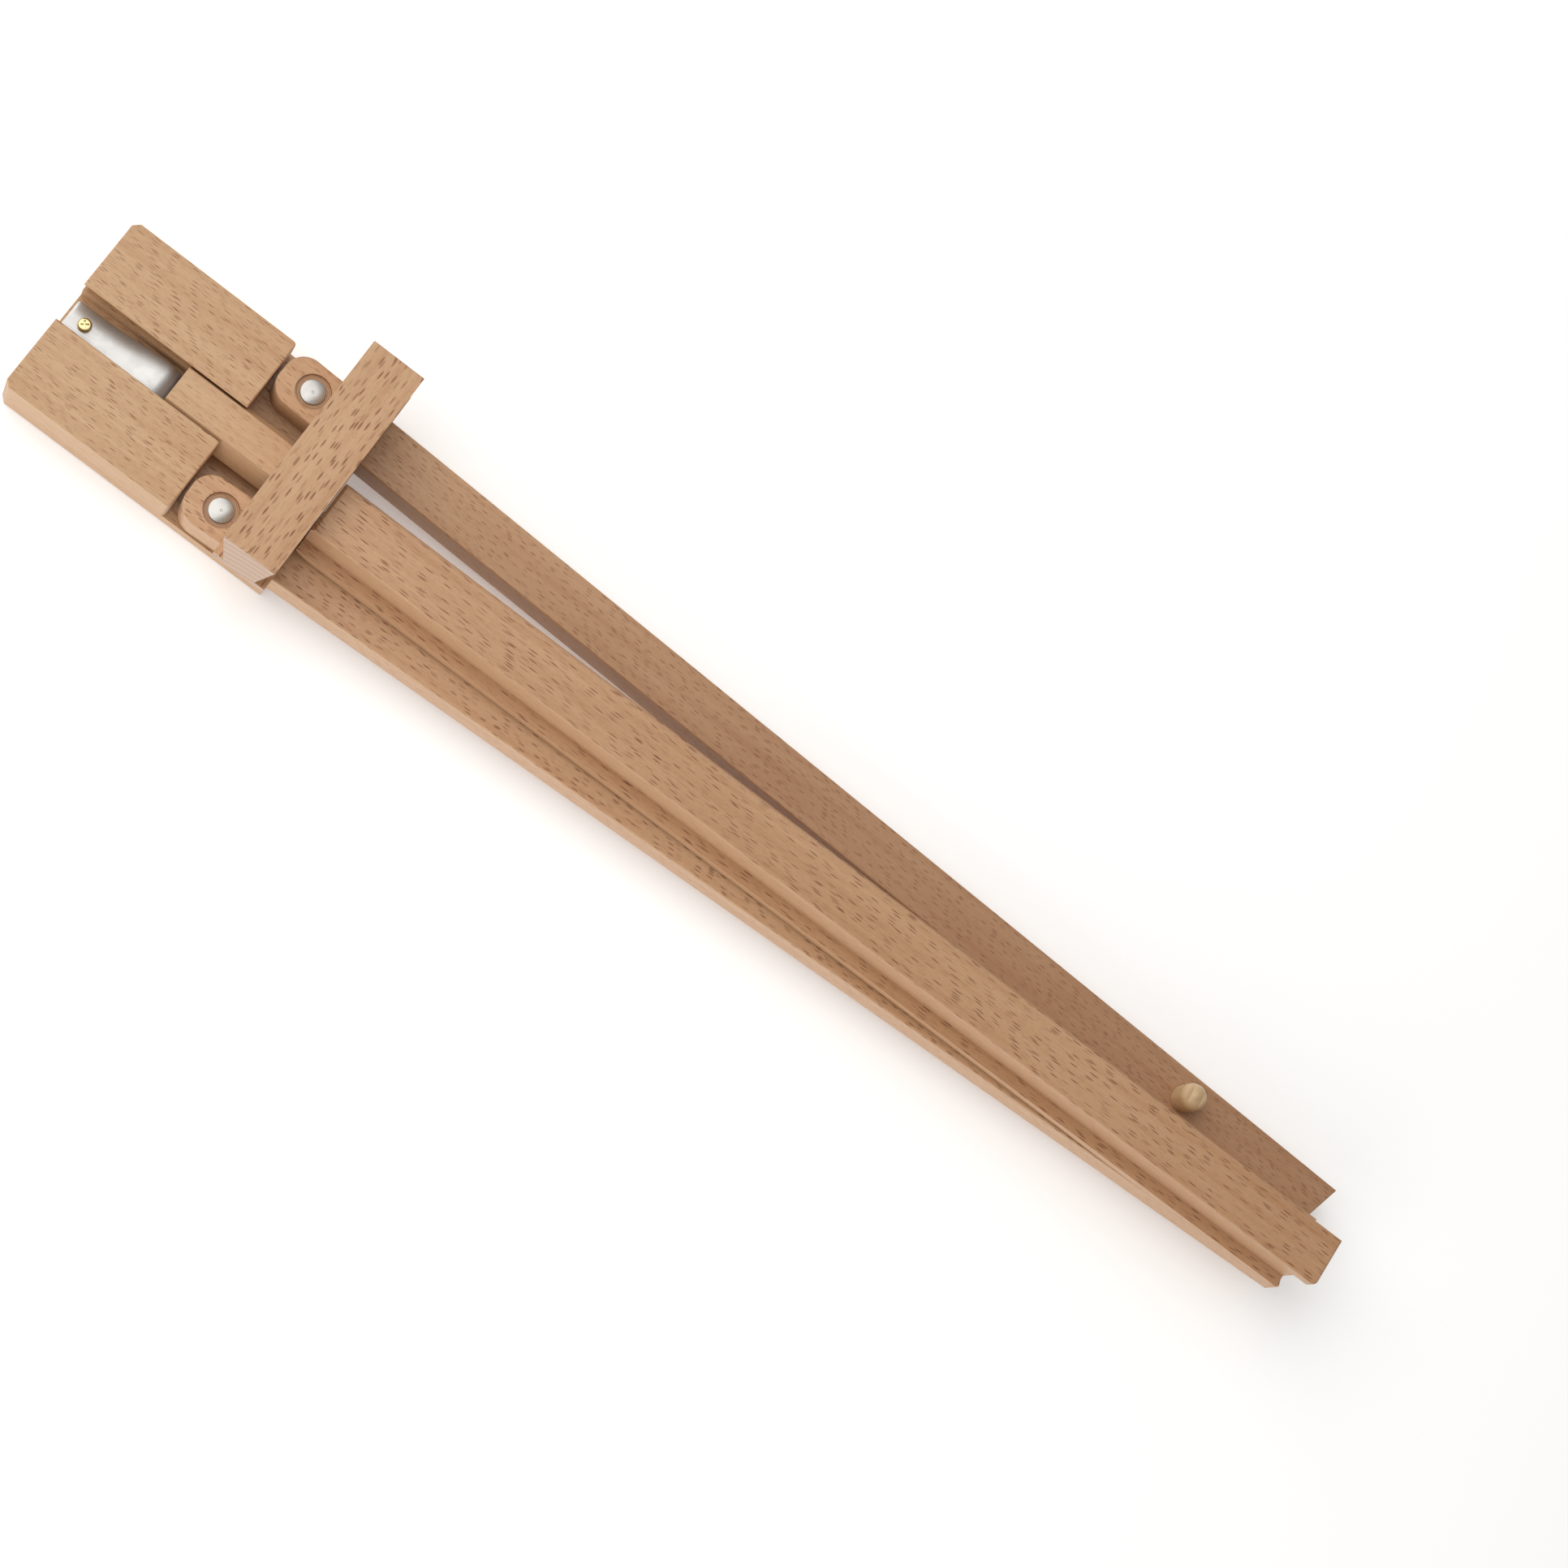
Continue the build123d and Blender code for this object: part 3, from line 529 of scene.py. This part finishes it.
slotWidth = screwLook["recessWidth"] * mm
cutter.scale = (slotWidth, slotWidth, 2 * screwLook["recessDepth"] * mm)
bpy.ops.object.transform_apply(location=False, rotation=False, scale=True)
bpy.ops.object.mode_set(mode="EDIT")
arm = screwLook["recessReach"] * mm - slotWidth / 2
for direction in (Vector((1, 0, 0)), Vector((-1, 0, 0)), Vector((0, 1, 0)), Vector((0, -1, 0))):
    selectFaces(cutter, lambda face, d=direction: face.normal.dot(d) > 0.9 and (
        face.calc_center_median() - d * face.calc_center_median().dot(d)).length < slotWidth / 5)
    bpy.ops.mesh.extrude_region_move(TRANSFORM_OT_translate={"value": direction * arm})
bpy.ops.mesh.select_all(action="SELECT")
bpy.ops.mesh.normals_make_consistent(inside=False)
bpy.ops.object.mode_set(mode="OBJECT")
cutter.rotation_euler.z = math.radians(screwLook["recessTurn"])
bpy.ops.object.select_all(action="DESELECT")
screw.select_set(True)
bpy.context.view_layer.objects.active = screw
recess = screw.modifiers.new("recess", "BOOLEAN")
recess.operation = "DIFFERENCE"
recess.object = cutter
bpy.ops.object.modifier_apply(modifier=recess.name)
bpy.data.objects.remove(cutter)
finishPiece(screw, metals["tumbledBrass"], "head", "spring_screw")

# hinge pins: turned rod with a flange under the board, faced and chamfered, with a centre mark
pinLook = {"radius": 3.6, "flangeRadius": 5.0, "flangeHeight": 1.4, "chamfer": 0.3,
           "markInset": 2.9, "markWall": 0.12, "markDepth": 0.12}
for sideName in ("left", "right"):
    node = "hinge_pin_" + sideName
    low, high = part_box(node)
    middle = (low + high) / 2
    bpy.ops.mesh.primitive_cylinder_add(
        vertices=64, radius=pinLook["flangeRadius"] * mm, depth=pinLook["flangeHeight"] * mm,
        location=(middle.x, middle.y, low.z + pinLook["flangeHeight"] * mm / 2))
    pin = bpy.context.object
    pin.name = "turnedPin" + sideName.title()
    bpy.ops.object.transform_apply(location=True, rotation=True, scale=True)
    bpy.ops.object.mode_set(mode="EDIT")
    selectFaces(pin, lambda face: face.normal.z > 0.9)
    bpy.ops.mesh.inset(thickness=(pinLook["flangeRadius"] - pinLook["radius"]) * mm)
    bpy.ops.mesh.extrude_region_move(TRANSFORM_OT_translate={
        "value": (0.0, 0.0, high.z - low.z - pinLook["flangeHeight"] * mm)})
    selectEdges(pin, lambda edge: all(v.co.z > high.z - near for v in edge.verts))
    bpy.ops.mesh.bevel(offset=pinLook["chamfer"] * mm, segments=2)
    selectFaces(pin, lambda face: face.normal.z > 0.999 and face.calc_center_median().z > high.z - near)
    bpy.ops.mesh.inset(thickness=pinLook["markInset"] * mm)
    bpy.ops.mesh.inset(thickness=pinLook["markWall"] * mm)
    bpy.ops.transform.translate(value=(0.0, 0.0, -pinLook["markDepth"] * mm))
    finishPiece(pin, metals["turnedSteel"], "head", node)

# stop peg: a dowel glued in its hole, with a rounded and slightly domed end
pegLook = {"radius": pegRadius, "roundOver": 2.5, "footChamfer": 0.6, "domeRise": 0.55,
           "domeSteps": ((0.4, 0.22), (0.4, 0.17), (0.3, 0.1), (0.2, 0.06))}
pegLow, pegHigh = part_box("stop_peg")
pegMiddle = (pegLow + pegHigh) / 2
shoulder = pegHigh.z - pegLook["domeRise"] * mm
bpy.ops.mesh.primitive_cylinder_add(
    vertices=64, radius=pegLook["radius"] * mm, depth=shoulder - pegLow.z,
    location=(pegMiddle.x, pegMiddle.y, (shoulder + pegLow.z) / 2))
peg = bpy.context.object
peg.name = "dowelPeg"
bpy.ops.object.transform_apply(location=True, rotation=True, scale=True)
bpy.ops.object.mode_set(mode="EDIT")
selectEdges(peg, lambda edge: all(v.co.z > shoulder - near for v in edge.verts))
bpy.ops.mesh.bevel(offset=pegLook["roundOver"] * mm, segments=8)
selectEdges(peg, lambda edge: all(v.co.z < pegLow.z + near for v in edge.verts))
bpy.ops.mesh.bevel(offset=pegLook["footChamfer"] * mm, segments=1)
for inward, lift in pegLook["domeSteps"]:
    selectFaces(peg, lambda face: face.normal.z > 0.999 and len(face.verts) > 8)
    bpy.ops.mesh.inset(thickness=inward * mm)
    bpy.ops.transform.translate(value=(0.0, 0.0, lift * mm))
finishPiece(peg, birchDowel, "right_leg", "stop_peg")

# a pale floor that glows a little, like a light table, so shadows stay soft
studio = {"floorSize": 14.0, "floorDrop": 0.0004, "floorColour": "#F6F5F3", "floorGlow": 0.24,
          "world": 0.42, "aim": (0.02, 0.0, 0.01)}
bpy.ops.mesh.primitive_plane_add(size=studio["floorSize"], location=(0.0, 0.0, -studio["floorDrop"]))
floor = bpy.context.object
floor.name = "floor"
floorMaterial, _, floorShader = newMaterial("paperWhiteFloor")
floorShader.inputs["Base Color"].default_value = srgb(studio["floorColour"])
floorShader.inputs["Roughness"].default_value = 0.95
floorShader.inputs["Emission Color"].default_value = (1.0, 1.0, 1.0, 1.0)
floorShader.inputs["Emission Strength"].default_value = studio["floorGlow"]
floor.data.materials.append(floorMaterial)

lights = {
    # name: place in metres, width in metres, power in watts
    "headSoftbox": ((-0.47, 0.16, 0.82), 1.2, 7.9),
    "frontCard": ((-0.15, -1.10, 0.50), 0.9, 4.9),
    "overheadCard": ((0.15, 0.37, 1.13), 0.9, 0.4),
}
aim = Vector(studio["aim"])
for name, (spot, width, power) in lights.items():
    lamp = bpy.data.objects.new(name, bpy.data.lights.new(name, "AREA"))
    lamp.data.size = width
    lamp.data.energy = power
    lamp.location = spot
    lamp.rotation_euler = (aim - Vector(spot)).to_track_quat("-Z", "Y").to_euler()
    bpy.context.scene.collection.objects.link(lamp)
world = bpy.data.worlds.new("softRoom")
world.use_nodes = True
world.node_tree.nodes["Background"].inputs["Color"].default_value = (1.0, 1.0, 1.0, 1.0)
world.node_tree.nodes["Background"].inputs["Strength"].default_value = studio["world"]
bpy.context.scene.world = world
bpy.context.scene.view_settings.view_transform = "Standard"

viewer = {
    "lens": 79.4,            # mm
    "sensor": 36.0,
    "target": (0.1686, 0.0135, 0.015),
    "distance": 0.9668,
    "azimuth": -25.01,       # degrees, from straight in front
    "elevation": 70.2,
    "roll": 60.94,
}
azimuth = math.radians(viewer["azimuth"])
elevation = math.radians(viewer["elevation"])
level = math.cos(elevation)
outward = Vector((math.sin(azimuth) * level, -math.cos(azimuth) * level, math.sin(elevation)))
camera = bpy.data.objects.new("camera", bpy.data.cameras.new("camera"))
camera.data.lens = viewer["lens"]
camera.data.sensor_width = viewer["sensor"]
bpy.context.scene.collection.objects.link(camera)
roll = Matrix.Rotation(math.radians(viewer["roll"]), 3, "Z")
turned = (-outward).to_track_quat("-Z", "Y").to_matrix() @ roll
spot = Vector(viewer["target"]) + outward * viewer["distance"]
camera.matrix_world = Matrix.Translation(spot) @ turned.to_4x4()
bpy.context.scene.camera = camera
print("studio and camera set")
